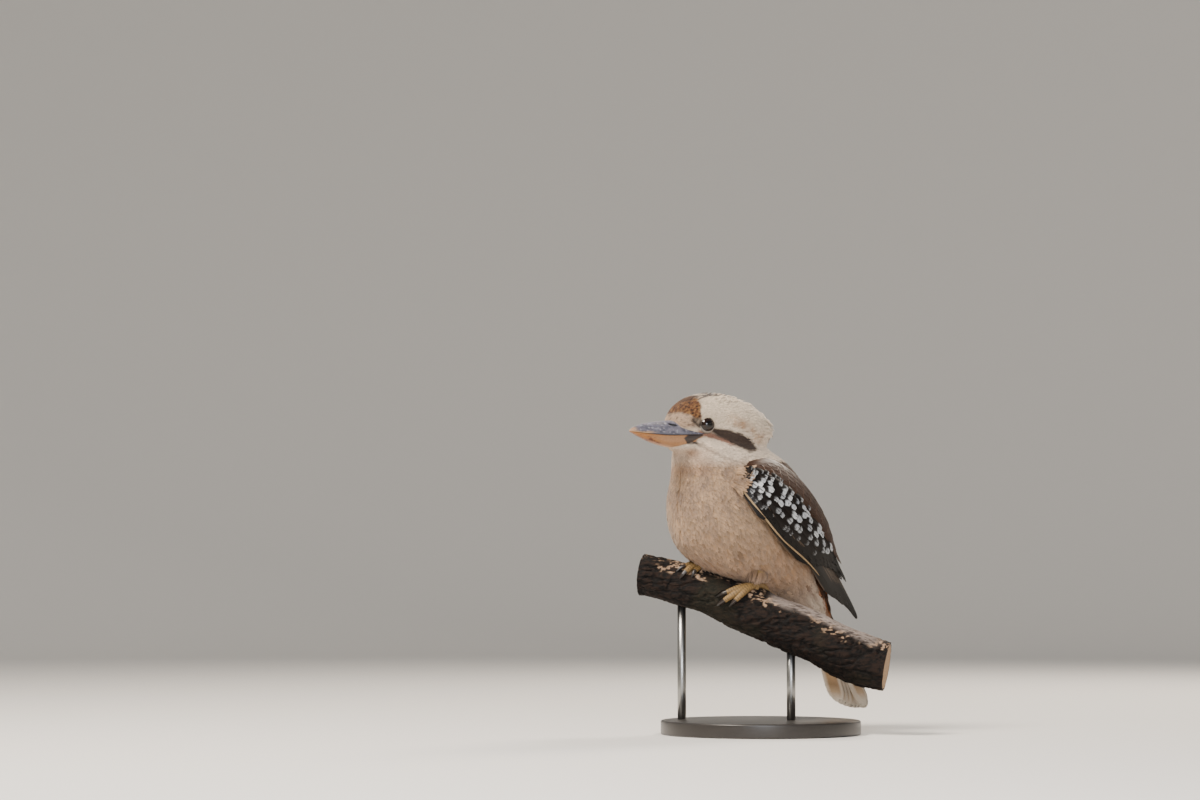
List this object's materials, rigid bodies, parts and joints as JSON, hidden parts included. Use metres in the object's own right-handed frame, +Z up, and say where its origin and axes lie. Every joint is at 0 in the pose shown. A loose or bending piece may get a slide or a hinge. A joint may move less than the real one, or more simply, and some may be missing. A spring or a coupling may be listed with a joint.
{
  "type": "laughing kookaburra",
  "caption": "Life-size model of a laughing kookaburra with folded wings, gripping a short cut branch on a plain display stand with a round base.",
  "frame": {"origin": "bottom centre of the whole model's box, under the stand's base", "axes": "+Z up, -Y the way the bird and its bill point, +X the bird's left side"},
  "size_m": [0.2058, 0.2922, 0.3138],
  "materials": {
    "white_plumage": "soft off-white contour feathers with warm buff and grey mottling",
    "brown_plumage": "dark brown mantle and wing feathers, the wing coverts tipped pale blue",
    "barred_plumage": "rufous tail feathers barred black, with white edges and tips",
    "bill_horn": "smooth dark blue-grey horn with a pale tip, low sheen",
    "pale_horn": "smooth pale horn with brown mottling and a dark base",
    "eye": "polished dark brown",
    "scaled_skin": "olive-yellow scaled skin",
    "claw_horn": "smooth dark horn",
    "bark": "rough blackish-brown bark with pale flecks, sawn ends",
    "stand_wood": "dark stained, satin",
    "steel": "brushed"
  },
  "bodies": {
    "root": {"head": "white_plumage", "neck": "white_plumage", "torso": "white_plumage", "tail": "barred_plumage", "wing_left": "brown_plumage", "wing_right": "brown_plumage", "thigh_left": "white_plumage", "thigh_right": "white_plumage", "bill_upper": "bill_horn", "bill_lower": "pale_horn", "eye_left": "eye", "eye_right": "eye", "leg_left": "scaled_skin", "leg_right": "scaled_skin", "foot_left": "scaled_skin", "foot_right": "scaled_skin", "perch": "bark", "stand_base": "stand_wood", "stand_rod_1": "steel", "stand_rod_2": "steel", "claw_left_inner": "claw_horn", "claw_left_middle": "claw_horn", "claw_left_outer": "claw_horn", "claw_left_hind": "claw_horn", "claw_right_inner": "claw_horn", "claw_right_middle": "claw_horn", "claw_right_outer": "claw_horn", "claw_right_hind": "claw_horn"}
  },
  "joints": []
}
